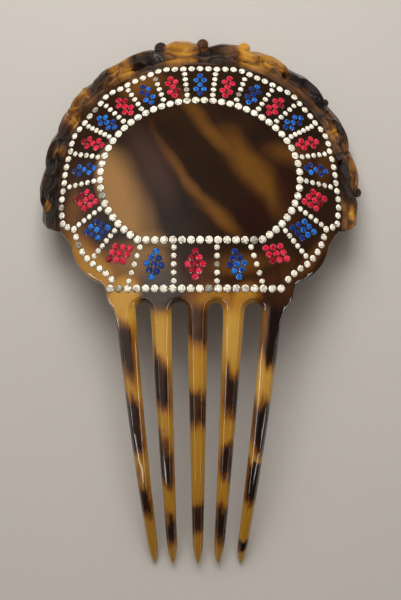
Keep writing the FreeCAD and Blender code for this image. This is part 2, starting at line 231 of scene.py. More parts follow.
lamp("window", (-0.04, 0.36, 0.39), (0.30, 0.30), 2.35, (1.0, 1.0, 0.97), glossy=False)
day_data = bpy.data.lights.new("daylight", "SUN")
day_data.energy = 1.0
day_data.angle = math.radians(50)
day_data.color = (1.0, 0.98, 0.95)
daylight_course = Vector((0.04, -0.50, -0.86))
daylight = bpy.data.objects.new("daylight", day_data)
daylight.rotation_euler = daylight_course.to_track_quat("-Z", "Y").to_euler()
daylight.visible_glossy = False
bpy.context.scene.collection.objects.link(daylight)
lamp("left_strip", (-0.46, -0.33, 0.36), (0.68, 0.04), 0.8, (1.0, 0.99, 0.97), diffuse=False)
lamp("right_strip", (0.46, -0.33, 0.36), (0.68, 0.04), 0.6, (1.0, 0.99, 0.97), diffuse=False)

# ---------------------------------------------------------------------------
# The comb blank: head plate and five teeth, cut from one sheet of mottled
# imitation tortoiseshell, warmed and bent over a domed block, then bevelled
# and polished. The stones are set in it and the border is cemented to it.
# ---------------------------------------------------------------------------
LENGTH_RADIUS = 175.0
CROSS_RADIUS = 105.0
SHEET = 3.2
TIP_THINNING = 0.42
HEAD_CENTRE_Y = 40.0
HEAD_POWER = 2.2
PLATE_OVAL = (53.0, 50.0)
TOOTH_ROOTS = (-27.1, -14.0, -0.8, 12.2, 26.4)
TOOTH_TIPS = (-17.4, -10.4, -0.8, 6.9, 15.5)
TOOTH_REACH = 99.9
TOOTH_WIDTH = 7.5
TOOTH_TAPER = 3.8
ROOT_FLARE = 0.6
FLARE_LENGTH = 6.0
POINT_LENGTH = 10.5
CROWN_SHARE = 0.34
OUTER_ROOT = 6.0
SLOT_ROUND = 2.6
HEAD_EDGE = 1.3
SLOT_EDGE = 2.5
EAR_TURN = 96
OUTLINE_STEP = 3.0
STRAIGHT_STEPS = 22
POINT_STEPS = 8
SLOT_STEPS = 12
CUT_STEP = 3.0
CUT_START = 0.37

# The rounded edge from the crown down: share of the edge's run, share of the thickness
EDGE_SECTION = ((1.0, 0.0), (0.9, 0.022), (0.76, 0.075), (0.5, 0.235), (0.22, 0.45), (0.05, 0.62),
                (0.0, 0.74), (0.05, 0.88), (0.22, 1.0))


def bent(x, y, height=0.0):
    """The place of a point that many millimetres above the polished face at plan x, y."""
    bow = math.sqrt(CROSS_RADIUS ** 2 - x * x)
    reach = LENGTH_RADIUS - CROSS_RADIUS + bow
    rise = math.sqrt(reach ** 2 - y * y)
    face = Vector((x, y, rise - LENGTH_RADIUS))
    out = Vector((reach * x / bow, y, rise)).normalized()
    return apex + (face + out * height) * MM


def facing(x, y):
    """The outward direction of the polished face at plan x, y."""
    return (bent(x, y, 1) - bent(x, y)).normalized()


def oval(turn, half_size, power):
    """A plan point of an oval round the head; turn is from the crest, to the right, in degrees."""
    sine = math.sin(math.radians(turn))
    cosine = math.cos(math.radians(turn))
    x = half_size[0] * math.copysign(abs(sine) ** (2 / power), sine)
    y = half_size[1] * math.copysign(abs(cosine) ** (2 / power), cosine)
    return Vector((x, HEAD_CENTRE_Y + y))


def arc(start, middle, end, count):
    """Plan points of the circle through three points, without its start."""
    a, b, c = (Vector(p) for p in (start, middle, end))
    d = 2 * (a.x * (b.y - c.y) + b.x * (c.y - a.y) + c.x * (a.y - b.y))
    across = a.length_squared * (b.y - c.y) + b.length_squared * (c.y - a.y) + c.length_squared * (a.y - b.y)
    up = a.length_squared * (c.x - b.x) + b.length_squared * (a.x - c.x) + c.length_squared * (b.x - a.x)
    centre = Vector((across / d, up / d))
    turn = (c - centre).angle_signed(a - centre)
    return [centre + Matrix.Rotation(turn * i / count, 2) @ (a - centre) for i in range(1, count + 1)]


def tooth_centre(tooth, reach):
    """The middle of a tooth, as a distance to the right; reach is the distance down from its root."""
    return TOOTH_ROOTS[tooth] + (TOOTH_TIPS[tooth] - TOOTH_ROOTS[tooth]) * reach / TOOTH_REACH


def tooth_half(reach):
    """Half of a tooth's width: an even taper from a flared root, then a round point."""
    width = TOOTH_WIDTH - TOOTH_TAPER * reach / TOOTH_REACH + ROOT_FLARE * math.exp(-reach / FLARE_LENGTH)
    into_point = max((reach - TOOTH_REACH + POINT_LENGTH) / POINT_LENGTH, 0)
    return width / 2 * math.sqrt(max(1 - into_point ** 2, 0))


def head_side():
    """The right side of the head, from the crest down to the shoulder, in plan."""
    turns = [step * OUTLINE_STEP for step in range(int(EAR_TURN / OUTLINE_STEP))]
    line = [oval(turn, PLATE_OVAL, HEAD_POWER) for turn in turns]
    ear_foot = (49.6, 23.6)
    line += arc(line[-1], (52.3, 26.6), ear_foot, 6)
    lobe_top = (47.2, 22.0)
    lobe_foot = (35.4, 6.6)
    line += arc(lobe_top, (43.9, 12.4), lobe_foot, 10)
    line += [Vector((34.5, 5.6)), Vector((34.1, 4.4)), Vector((33.9, 3.2))]
    line += arc(line[-1], (33.1, 0.0), (30.9, -2.6), 5)
    return line


def smooth(share):
    """A soft change from 0 to 1."""
    share = min(max(share, 0), 1)
    return share * share * (3 - 2 * share)


def tooth_side(tooth, side):
    """One side of a tooth from its root to its tip: plan points, each with the run of its edge inwards."""
    outer = (tooth, side) in ((0, -1), (4, 1))
    first_reach = OUTER_ROOT if outer else SLOT_ROUND
    start_run = HEAD_EDGE if outer else SLOT_EDGE
    straight = TOOTH_REACH - POINT_LENGTH
    reaches = [first_reach + (straight - first_reach) * i / STRAIGHT_STEPS for i in range(STRAIGHT_STEPS)]
    reaches += [straight + POINT_LENGTH * math.sin(math.pi / 2 * i / POINT_STEPS) for i in range(POINT_STEPS)]
    found = []
    for reach in reaches:
        half = tooth_half(reach)
        full_run = (1 - CROWN_SHARE) * half
        run = start_run + (full_run - start_run) * smooth((reach - first_reach) / 10)
        rise = max((reach - straight) / POINT_LENGTH, 0) ** 3
        at = Vector((tooth_centre(tooth, reach) + side * half, -reach))
        found.append((at, Vector((-side * run, rise))))
    return found


def head_edge(points):
    """The points of one side of the head, each with the run of its edge inwards."""
    found = []
    for i, point in enumerate(points):
        along = (points[min(i + 1, len(points) - 1)] - points[max(i - 1, 0)]).normalized()
        inward = Vector((0, -1)) if point.x == 0 else Vector((along.y, -along.x))
        found.append((point, inward * HEAD_EDGE))
    return found


def slot_end(tooth):
    """The round end of the slot between a tooth and the one to its left."""
    start = tooth_centre(tooth, SLOT_ROUND) - tooth_half(SLOT_ROUND)
    end = tooth_centre(tooth - 1, SLOT_ROUND) + tooth_half(SLOT_ROUND)
    middle = Vector(((start + end) / 2, -SLOT_ROUND))
    found = []
    for i in range(1, SLOT_STEPS):
        angle = math.pi * i / SLOT_STEPS
        spoke = Vector((math.cos(angle), math.sin(angle)))
        at = middle + Vector((spoke.x * (start - end) / 2, spoke.y * SLOT_ROUND))
        found.append((at, spoke * SLOT_EDGE))
    return found


def blank_outline():
    """The whole outline, clockwise from the crest: plan points, each with the run of its edge inwards."""
    right = head_side()
    left = [Vector((-point.x, point.y)) for point in reversed(right[1:])]
    line = head_edge(right)
    for tooth in (4, 3, 2, 1, 0):
        line += tooth_side(tooth, 1)
        line.append((Vector((tooth_centre(tooth, TOOTH_REACH), -TOOTH_REACH)), Vector((0, HEAD_EDGE))))
        line += reversed(tooth_side(tooth, -1))
        if tooth:
            line += slot_end(tooth)
    return line + head_edge(left)


def finish_mesh(piece, angle=None):
    """Outward faces and smooth shading, broken at edges sharper than the angle."""
    bpy.ops.object.select_all(action="DESELECT")
    piece.select_set(True)
    bpy.context.view_layer.objects.active = piece
    bpy.ops.object.mode_set(mode="EDIT")
    bpy.ops.mesh.select_all(action="SELECT")
    bpy.ops.mesh.normals_make_consistent(inside=False)
    bpy.ops.object.mode_set(mode="OBJECT")
    if angle is None:
        bpy.ops.object.shade_smooth()
    else:
        bpy.ops.object.shade_smooth_by_angle(angle=math.radians(angle))


def piece_from(name, points, faces):
    """A new object of these points and faces."""
    mesh = bpy.data.meshes.new(name)
    mesh.from_pydata(points, [], faces)
    made = bpy.data.objects.new(name, mesh)
    bpy.context.scene.collection.objects.link(made)
    return made


outline = blank_outline()
count = len(outline)
blank_points = []
back_start = count * (len(EDGE_SECTION) - 1)
blank_faces = [list(range(count)), list(reversed(range(back_start, back_start + count)))]
for share, depth in EDGE_SECTION:
    for point, run in outline:
        at = point + run * share
        blank_points.append((at.x, at.y, -depth * SHEET))
for ring in range(len(EDGE_SECTION) - 1):
    for i in range(count):
        j = (i + 1) % count
        a = ring * count
        b = a + count
        blank_faces.append((a + i, a + j, b + j, b + i))
blank = piece_from("bent_blank", blank_points, blank_faces)
bpy.ops.object.select_all(action="DESELECT")
blank.select_set(True)
bpy.context.view_layer.objects.active = blank
bpy.ops.object.mode_set(mode="EDIT")
# Cuts across the flat blank, so that it can bend
for axis, low, high in ((Vector((1, 0, 0)), -54, 54), (Vector((0, 1, 0)), -99, 90)):
    for step in range(int(low / CUT_STEP), int(high / CUT_STEP) + 1):
        bpy.ops.mesh.select_all(action="SELECT")
        bpy.ops.mesh.bisect(plane_co=axis * (step * CUT_STEP + CUT_START), plane_no=axis)
bpy.ops.object.mode_set(mode="OBJECT")
for vertex in blank.data.vertices:
    x, y, height = vertex.co
    thin = TIP_THINNING * max(-y, 0) / TOOTH_REACH
    vertex.co = bent(x, y, height * (1 - thin) - SHEET * thin / 2)
finish_mesh(blank, 60)
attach(blank, "root")
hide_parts("comb_blank")

# Colours of the sheet, from the clear amber through brown to the darkest mottle
AMBER = (0.41, 0.205, 0.018, 1)
HONEY = (0.50, 0.275, 0.05, 1)
ORANGE_BROWN = (0.19, 0.070, 0.009, 1)
DARK_BROWN = (0.040, 0.014, 0.006, 1)
NEAR_BLACK = (0.011, 0.006, 0.004, 1)
TAN = (0.255, 0.130, 0.042, 1)

# Dark bands of each tooth, as distances down the tooth in millimetres
TOOTH_BANDS = (
    ((6.5, 25.0), (32.5, 55.0), (64.5, 79.5)),
    ((21.0, 37.5), (50.5, 66.0), (77.5, 88.0)),
    ((-6.0, 16.8), (31.5, 46.5), (69.5, 89.0)),
    ((23.5, 38.5), (51.0, 62.0), (75.0, 90.0)),
    ((-4.0, 20.5), (35.0, 52.0), (56.5, 73.5), (88.0, 93.0)),
)
BAND_EDGE = 4.2
BANDS_FROM = -10.0
BANDS_SPAN = TOOTH_REACH + 20.0

# For each tooth: how far its bands lean, the side of a pale strip along it, the share that the strip takes
# from them, and how dark they are
TOOTH_LEAN = (
    (-0.5, 1, 0.6, 0.86),
    (-0.5, 1, 0.6, 0.88),
    (-0.2, -1, 0.0, 0.84),
    (-0.3, -1, 0.65, 0.90),
    (-0.5, -1, 0.5, 1.0),
)
BLACK = (0, 0, 0, 1)


def patch(x, y, centre, size, turn, edge, bow=0.0):
    """A soft oval patch, 1 inside: its long side lies at turn degrees and is bowed to one side."""
    cosine = math.cos(math.radians(turn))
    sine = math.sin(math.radians(turn))
    right = x - centre[0]
    up = y - centre[1]
    along = right * cosine + up * sine
    across = up * cosine - right * sine - along * along * bow
    distance = ((along / size[0]) ** 2.0 + (across / size[1]) ** 2.0) ** 0.5
    return 1.0 - distance.rise(1 - edge, 1 + edge)


def patches(x, y, table):
    """The strongest of several patches, each with its strength."""
    shown = None
    for strength, *shape in table:
        found = patch(x, y, *shape) * strength
        shown = found if shown is None else shown.larger(found)
    return shown


def band_stops(bands, depth):
    """The stops of a ramp that is dark in each band; a narrow gap between two bands sharpens their edges."""
    stops = [(0.0, BLACK)]
    for start, end in bands:
        gaps = [abs(start - other[1]) for other in bands if other[1] != end]
        edge = min([BAND_EDGE, (end - start) / 3] + [gap / 2 - 0.1 for gap in gaps])
        for at, level in ((start - edge, 0), (start + edge, depth), (end - edge, depth), (end + edge, 0)):
            stops.append(((at - BANDS_FROM) / BANDS_SPAN, (level, level, level)))
    return stops


def tooth_darkness(x, reach):
    """How dark the teeth are, from the bands of the tooth that a place belongs to."""
    shown = None
    for tooth, bands in enumerate(TOOTH_BANDS):
        slant, strip_side, strip, depth = TOOTH_LEAN[tooth]
        beside = x - tooth_centre(tooth, reach)
        share = (reach - BANDS_FROM + beside * slant) / BANDS_SPAN
        dark = share.node("ShaderNodeValToRGB", {"stops": band_stops(bands, depth)}, {"Fac": share})
        if strip == 0:
            # Without a strip the ends of the bands are softer
            dark = dark.mix(BLACK, dark)
        else:
            stripped = dark.mix(BLACK, (1 - strip, 1 - strip, 1 - strip, 1))
            dark = (beside * strip_side).rise(0.9, 2.6).mix(dark, stripped)
        if shown is None:
            shown = dark
        else:
            between_teeth = (tooth_centre(tooth - 1, reach) + tooth_centre(tooth, reach)) * 0.5
            shown = x.sum("GREATER_THAN", x, between_teeth).mix(shown, dark)
    return shown


sheet_paint, sheet_shader, blank_place = new_material("mottled_sheet")
plan_x, object_y = plan_of(blank_place)
plan_y = object_y - apex.y * 1000
wander = noise(blank_place, 0.11, 2.0, 0.5, (1.0, 0.35, 0.6))
fine = noise(blank_place, 0.5, 3.0, 0.6, (1.0, 0.16, 0.6))
broad = noise(blank_place, 0.045, 2.0, 0.5, (1.0, 1.0, 1.0))

reach_down = 0.0 - plan_y
warped_reach = reach_down + (wander - 0.5) * 13.0 + (fine - 0.5) * 11.0
teeth_dark = tooth_darkness(plan_x, warped_reach)
warped_x = plan_x + (wander - 0.5) * 5.0 + (broad - 0.5) * 4.0
warped_y = plan_y + (broad - 0.5) * 5.0

# Patches of the head: strength, middle, half sizes, turn, softness, and the bow of a bowed one.
# First the amber streaks of the oval, which run down to the right, and the amber of the band and the base
GOLDEN = (
    (0.85, (6.5, 58.5), (24.0, 2.6), -50, 0.85),
    (1.0, (19.0, 46.0), (18.0, 5.2), -54, 0.7),
    (0.7, (31.0, 53.0), (7.5, 4.0), -12, 0.8),
    (0.9, (-2.5, 41.0), (21.0, 1.7), -48, 0.85, 0.006),
    (1.0, (7.0, 30.5), (9.0, 2.9), -42, 0.8),
    (0.3, (-46.0, 33.0), (9.0, 3.0), 80, 0.8),
    (0.84, (-39.0, 13.5), (14.0, 6.5), -50, 0.6),
    (0.9, (-27.0, 3.0), (6.5, 6.5), 0, 0.5),
    (0.62, (5.0, 0.5), (8.5, 4.5), 0, 0.6),
    (0.8, (15.0, 1.0), (5.0, 5.0), 0, 0.6),
    (0.3, (41.0, 17.0), (9.0, 2.6), 50, 0.7),
    (0.6, (-20.0, 79.0), (8.0, 5.0), 20, 0.8),
    (0.5, (45.0, 50.0), (9.0, 3.5), 80, 0.8),
    (0.5, (14.0, 14.0), (9.0, 3.5), 10, 0.8),
)
PALE = ((1.0, (-35.0, 35.0), (28.0, 13.5), -65, 0.42), (1.0, (-27.0, 19.0), (16.0, 10.0), -25, 0.45))
PALE_BASE = ((0.7, (-19.0, 13.5), (13.0, 7.5), -10, 0.5),)
RED_BLACK = ((0.8, (31.0, 39.0), (10.0, 5.0), -80, 0.6), (0.8, (19.0, 31.5), (7.5, 4.2), -70, 0.6))
SMOKY = ((0.85, (-14.0, 5.0), (7.5, 7.0), -40, 0.5),)
PLUM = ((0.6, (-17.0, 50.0), (15.0, 5.0), -62, 0.7),)
IN_OVAL = ((1.0, (0.0, 45.5), (37.5, 27.0), 0, 0.04),)
IN_HEAD = ((0.65, (6.0, 48.0), (47.0, 40.0), 0, 0.15),)
HONEY_ROOTS = (
    (1.0, (23.5, -27.0), (5.0, 9.0), 0, 0.4),
    (1.0, (-26.0, 0.0), (6.0, 7.0), 0, 0.4),
    (1.0, (-12.0, -13.0), (4.5, 8.0), 0, 0.4),
    (1.0, (12.0, -12.0), (4.5, 9.0), 0, 0.4),
)
SHEET_STOPS = [
    (0.0, AMBER), (0.18, (0.36, 0.165, 0.02, 1)), (0.42, ORANGE_BROWN), (0.72, DARK_BROWN), (1.0, NEAR_BLACK),
]
HEAD_STOPS = [
    (0.0, (0.115, 0.047, 0.008, 1)), (0.35, (0.066, 0.025, 0.006, 1)),
    (0.7, (0.022, 0.010, 0.005, 1)), (1.0, (0.010, 0.006, 0.004, 1)),
]

head_light = patches(warped_x, warped_y, GOLDEN).smaller(1.0)
head_dark = (1.0 - head_light) * (0.80 + (broad - 0.5) * 0.6 + (fine - 0.5) * 0.08)
in_teeth = reach_down.rise(-1.5, 5.0)
darkness = head_dark + (teeth_dark - head_dark) * in_teeth + (fine - 0.5) * (in_teeth * 0.30 + 0.05)
shell = darkness.node("ShaderNodeValToRGB", {"stops": SHEET_STOPS}, {"Fac": darkness})
head_shell = darkness.node("ShaderNodeValToRGB", {"stops": HEAD_STOPS}, {"Fac": darkness})
in_head = plan_y.rise(2.0, 22.0) * (0.35 + patches(plan_x, plan_y, IN_HEAD))
shell = in_head.mix(shell, head_shell)
shell = patches(warped_x, warped_y, PLUM).mix(shell, (0.055, 0.026, 0.019, 1))
pale_zone = (patches(plan_x, plan_y, IN_OVAL) + patches(warped_x, warped_y, PALE_BASE)).smaller(1.0)
shell = (patches(warped_x, warped_y, PALE) * pale_zone).mix(shell, TAN)
shell = patches(warped_x, warped_y, RED_BLACK).mix(shell, (0.020, 0.006, 0.004, 1))
shell = patches(warped_x, warped_y, SMOKY).mix(shell, (0.062, 0.052, 0.044, 1))
tooth_honey = patches(plan_x, plan_y, HONEY_ROOTS) * (1.0 - darkness * 1.6).larger(0.0)
shell = (tooth_honey * 0.7).mix(shell, HONEY)
feed(sheet_shader, "Base Color", shell)
feed(sheet_shader, "Roughness", 0.07 + noise(blank_place, 0.6, 3.0) * 0.08)
sheet_shader.inputs["Coat Weight"].default_value = 0.25
sheet_shader.inputs["Coat Roughness"].default_value = 0.05
sheet_shader.inputs["IOR"].default_value = 1.5
feed_bump(sheet_shader, noise(blank_place, 0.09, 2.0) + noise(blank_place, 5.0, 2.0) * 0.01, 0.25, 0.0004)
blank.data.materials.append(sheet_paint)

# ---------------------------------------------------------------------------
# The carved border: a thicker moulding of the same sheet, cut and pierced as
# overlapping fluted leaves with a bead at each joint, and cemented over the
# rim of the head plate.
# ---------------------------------------------------------------------------
INNER_OVAL = (51.2, 48.2)
OUTER_OVAL = (57.6, 57.6)
OUTER_POWER = 2.1
LEAF_DEPTH = 2.8
GROUND_LEVEL = -0.9
LAST_TURN = 105.0
ROUND_END = 9.0
COLUMN_STEP = 0.6
ROWS = 30
INNER_SHARE = -0.12
LEAST_REACH = 0.84
MOST_REACH = 1.14
RIM_DROP = 1.3
OPENING = 0.45
OPENING_SPREAD = 1.8


def on_border(turn, across, height):
    """A place on the border: across is 0 at the stones' side and 1 at the outside."""
    inner = oval(turn, INNER_OVAL, HEAD_POWER)
    outer = oval(turn, OUTER_OVAL, OUTER_POWER)
    at = inner + (outer - inner) * across
    return bent(at.x, at.y, height)


# Carved leaves: first and last turn, share across at each, bow outwards, half width, height, flutes.
# Each rises from under the one before it and its end lies over the next
LEAVES = (
    (1.0, 24.0, 0.72, 0.48, 0.14, 0.44, 2.0, 3),
    (-3.0, 17.0, 0.20, 0.16, 0.02, 0.24, 1.3, 2),
    (12.0, 37.0, 0.58, 0.70, 0.12, 0.46, 2.0, 3),
    (14.0, 46.0, 0.30, 0.08, 0.02, 0.24, 1.5, 2),
    (29.0, 56.0, 0.66, 0.80, 0.10, 0.46, 2.2, 3),
    (36.0, 66.0, 0.30, 0.16, 0.04, 0.30, 1.5, 2),
    (48.0, 78.0, 0.64, 0.66, 0.14, 0.50, 2.1, 4),
    (58.0, 88.0, 0.08, 0.52, -0.02, 0.30, 1.9, 2),
    (68.0, 93.0, 0.72, 0.74, 0.16, 0.44, 1.9, 3),
    (80.0, 112.0, 0.22, 0.56, 0.20, 0.58, 2.1, 3),
    (1.0, -16.0, 0.76, 0.58, 0.10, 0.52, 2.2, 4),
    (3.0, -20.0, 0.22, 0.10, -0.02, 0.26, 1.4, 2),
    (-9.0, -33.0, 0.62, 0.78, 0.12, 0.36, 2.1, 2),
    (-15.0, -42.0, 0.16, 0.24, 0.02, 0.22, 1.4, 2),
    (-24.0, -47.0, 0.72, 0.62, 0.12, 0.44, 2.2, 3),
    (-36.0, -59.0, 0.52, 0.76, 0.14, 0.46, 2.2, 3),
    (-34.0, -60.0, 0.28, 0.14, 0.02, 0.24, 1.4, 2),
    (-48.0, -71.0, 0.72, 0.50, 0.14, 0.50, 2.2, 3),
    (-59.0, -84.0, 0.60, 0.76, 0.14, 0.46, 2.1, 3),
    (-58.0, -88.0, 0.14, 0.32, 0.00, 0.28, 1.5, 2),
    (-74.0, -97.0, 0.66, 0.78, 0.16, 0.48, 2.2, 3),
    (-86.0, -112.0, 0.42, 0.44, 0.24, 0.60, 2.0, 3),
    (19.0, 35.0, 0.86, 0.10, 0.0, 0.20, 2.4, 1),
    (57.0, 73.0, 0.90, 0.16, 0.0, 0.20, 2.3, 1),
    (83.0, 97.0, 0.06, 0.86, 0.0, 0.22, 2.4, 2),
    (-6.0, -19.0, 0.10, 0.80, 0.0, 0.22, 2.3, 2),
    (-28.0, -42.0, 0.90, 0.14, 0.0, 0.22, 2.4, 2),
    (-47.0, -60.0, 0.16, 0.86, 0.0, 0.20, 2.4, 1),
    (-64.0, -80.0, 0.88, 0.12, 0.0, 0.22, 2.3, 2),
    (-84.0, -97.0, 0.10, 0.84, 0.0, 0.20, 2.3, 1),
)

# Curled leaves that close to a loop: turn and share across of the middle, half sizes, and how much paler
# the hollow is
LOOPS = (
    (8.0, 0.56, 6.0, 0.34, 0.20), (-6.0, 0.56, 6.5, 0.36, 0.0), (25.0, 0.52, 5.0, 0.34, 0.05),
    (45.0, 0.60, 6.0, 0.32, 0.25), (65.0, 0.46, 5.5, 0.34, 0.35), (81.0, 0.62, 5.0, 0.30, 0.0),
    (97.0, 0.50, 4.5, 0.36, 0.15), (-33.0, 0.58, 5.0, 0.32, 0.0), (-54.0, 0.54, 5.0, 0.38, 0.0),
    (-74.5, 0.55, 5.5, 0.34, 0.50), (-93.5, 0.58, 4.5, 0.30, 0.50),
)

# Openings sawn through the work: turn and share across of the middle, and their half sizes
PIERCED = ((-23.6, 0.36, 2.6, 0.16), (33.5, 0.50, 0.9, 0.10), (78.5, 0.20, 0.9, 0.12))

# The sheet's mottle along the border: turn, darkness at the outside and darkness at the stones' side
MOTTLE = (
    (-106, 0.70, 0.75), (-99, 0.88, 0.95), (-95, 0.62, 0.98), (-90, 0.95, 1.0), (-84, 0.80, 1.0),
    (-78, 0.82, 0.85), (-74, 0.70, 0.35), (-69, 0.90, 0.90), (-64, 0.75, 0.70), (-60, 0.35, 0.15),
    (-55, 0.25, 0.60), (-49, 0.20, 0.45), (-44, 0.75, 0.70), (-38, 0.80, 0.45), (-33, 0.15, 0.35),
    (-28, 0.10, 0.30), (-24, 0.70, 0.60), (-19, 0.88, 0.80), (-14, 0.90, 0.55), (-11, 0.15, 0.35),
    (-5, 0.05, 0.30), (0, 0.35, 0.50), (3, 0.85, 0.90), (7, 0.80, 0.85), (11, 0.40, 0.75),
    (16, 0.05, 0.30), (22, 0.20, 0.12), (29, 0.12, 0.50), (34, 0.45, 0.42), (38, 0.92, 0.50),
    (46, 1.0, 0.55), (53, 1.0, 0.60), (57, 0.60, 0.70), (62, 0.60, 0.35), (66, 0.68, 0.15),
    (70, 0.60, 0.35), (75, 0.42, 0.60), (80, 0.30, 0.85), (86, 0.40, 0.95), (91, 0.75, 0.80),
    (95, 0.45, 0.45), (100, 0.20, 0.35), (106, 0.55, 0.60),
)


def leaf_line(leaf, turn):
    """How far along a leaf a turn is, with the middle and the half width there; none beyond its ends."""
    first, last, start, end, bow, width = leaf[:6]
    along = (turn - first) / (last - first)
    if not 0.0 < along < 1.0:
        return None
    girth = math.sin(math.pi * along ** 0.75) ** 0.6
    wave = 1.0 + 0.07 * math.sin(along * 23 + first)
    middle = start + (end - start) * along + bow * math.sin(math.pi * along)
    return along, middle, width * girth * wave


def outside_of(turn):
    """The share across of the outermost edge of the leaves at a turn."""
    reach = LEAST_REACH
    for leaf in LEAVES:
        line = leaf_line(leaf, turn)
        if line:
            reach = max(reach, line[1] + line[2])
    reach = min(reach, MOST_REACH)
    into_end = min(max((abs(turn) - LAST_TURN + ROUND_END) / ROUND_END, 0.0), 0.97)
    return INNER_SHARE + (reach - INNER_SHARE) * math.sqrt(1 - into_end ** 2)


def carve(turn, across, outside):
    """Height of the carving and darkness at a place of the border: the sheet's mottle, plus painted shade on
    the ground, in flute hollows, towards leaf edges and in creases, and painted highlight on flute ridges.
    """
    rim = smooth((across - INNER_SHARE) / (outside - INNER_SHARE) * 6 - 5)
    ground = GROUND_LEVEL - RIM_DROP * rim
    level = ground
    under = ground
    # Painted shade: the ground between the leaves starts darker than any leaf
    shade = 0.3
    for leaf in LEAVES:
        line = leaf_line(leaf, turn)
        if line is None:
            continue
        along, middle, half_width = line
        beside = (across - middle) / (half_width + 1e-6)
        if abs(beside) >= 1.0:
            continue
        height, flutes = leaf[6:]
        ridge = 0.5 + 0.5 * math.cos(beside * flutes * math.pi * (0.6 + 0.5 * along))
        dome = (1.0 - beside * beside) ** 0.5 * (0.80 + 0.20 * ridge)
        swell = (0.35 + 0.65 * smooth(along * 1.4)) * (1.0 - smooth(along * 5 - 4)) ** 0.5
        found = ground + (height - ground) * dome * swell
        if found > level:
            under = level
            level = found
            # Painted highlight on the flute ridges, painted shade in the flute hollows and towards the leaf's
            # edges
            shade = 0.2 * (0.5 - ridge) + 0.12 * abs(beside) ** 3
        else:
            under = max(under, found)
    # Painted shade in creases, where the top surface lies only just above the one under it
    shade += 0.3 * (1.0 - smooth((level - under) / 0.4))
    for centre_turn, centre_across, half_turn, half_across, paler in LOOPS:
        spread = math.hypot((turn - centre_turn) / half_turn, (across - centre_across) / half_across)
        if spread < 1.5:
            lip = math.exp(-((spread - 0.85) / 0.2) ** 2)
            hollow = 1.0 - smooth(spread / 0.75)
            level += 0.75 * lip - 0.8 * hollow
            shade += 0.12 * lip - paler * hollow
    for (turn_a, outer_a, inner_a), (turn_b, outer_b, inner_b) in zip(MOTTLE, MOTTLE[1:]):
        if turn_a <= turn <= turn_b:
            share = smooth((turn - turn_a) / (turn_b - turn_a))
            outer = outer_a + (outer_b - outer_a) * share
            inner = inner_a + (inner_b - inner_a) * share
            shade += inner + (outer - inner) * smooth((across - 0.2) / 0.5)
    return level, shade


def pierce(turn, across):
    """Spreads the work away from the middle of each opening; says whether the place is sawn out."""
    gone = False
    for centre_turn, centre_across, half_turn, half_across in PIERCED:
        beside = Vector(((turn - centre_turn) / half_turn, (across - centre_across) / half_across))
        if beside.length < OPENING_SPREAD:
            gone = gone or beside.length < OPENING
            spread = (1.0 + beside.length * (1.0 - 1.0 / OPENING_SPREAD)) / max(beside.length, 0.05)
            turn = centre_turn + beside.x * spread * half_turn
            across = centre_across + beside.y * spread * half_across
    return turn, across, gone


def add_tone_and_shade(piece, tone_at):
    """Keeps how dark each vertex is, the sheet's mottle with the carving's painted shade and highlight, for
    the material.
    """
    tone = piece.data.attributes.new("tone", "FLOAT", "POINT")
    for item, value in zip(tone.data, tone_at):
        item.value = value


def bead(name, turn, across, radius, height, tone):
    """A round bead at a joint of the leaves, a little flattened, with a dimple on top."""
    bpy.ops.object.select_all(action="DESELECT")
    bpy.ops.mesh.primitive_uv_sphere_add(segments=20, ring_count=14, radius=1)
    made = bpy.context.object
    made.name = name
    centre = on_border(turn, across, height)
    up = (on_border(turn, across, height + 1) - centre).normalized()
    spin = up.to_track_quat("Z", "Y").to_matrix()
    for vertex in made.data.vertices:
        flat = vertex.co.copy()
        ring = math.hypot(flat.x, flat.y)
        if flat.z > 0:
            flat.z = flat.z * 0.7 - 0.2 * math.exp(-(ring / 0.35) ** 2)
        vertex.co = centre + spin @ flat * radius * MM
    add_tone_and_shade(made, [tone] * len(made.data.vertices))
    return made


columns = int(2 * LAST_TURN / COLUMN_STEP)
top_points = []
back_points = []
tones_and_shade = []
sawn_out = []
for column in range(columns + 1):
    column_turn = -LAST_TURN + 2 * LAST_TURN * column / columns
    outside = outside_of(column_turn)
    for row in range(ROWS + 1):
        row_across = INNER_SHARE + (outside - INNER_SHARE) * row / ROWS
        turn, across, gone = pierce(column_turn, row_across)
        level, shade = carve(turn, across, outside)
        top_points.append(on_border(turn, across, level))
        back_points.append(on_border(turn, across, -LEAF_DEPTH))
        tones_and_shade.append(shade)
        sawn_out.append(gone)
column_length = ROWS + 1
total = len(top_points)
border_faces = []
open_edges = {}
for column in range(columns):
    for row in range(ROWS):
        a = column * column_length + row
        corners = (a, a + 1, a + column_length + 1, a + column_length)
        if any(sawn_out[i] for i in corners):
            continue
        border_faces.append(corners)
        border_faces.append(tuple(total + i for i in reversed(corners)))
        for i in range(4):
            edge = (corners[i], corners[(i + 1) % 4])
            if (edge[1], edge[0]) in open_edges:
                del open_edges[(edge[1], edge[0])]
            else:
                open_edges[edge] = True
for a, b in open_edges:
    border_faces.append((b, a, a + total, b + total))
sheet_border = piece_from("border_sheet", top_points + back_points, border_faces)
add_tone_and_shade(sheet_border, tones_and_shade + tones_and_shade)
border_mesh = bmesh.new()
border_mesh.from_mesh(sheet_border.data)
sawn_away = [vertex for vertex in border_mesh.verts if not vertex.link_faces]
bmesh.ops.delete(border_mesh, geom=sawn_away, context="VERTS")
border_mesh.to_mesh(sheet_border.data)
border_mesh.free()
finish_mesh(sheet_border, 60)
carved = [sheet_border]

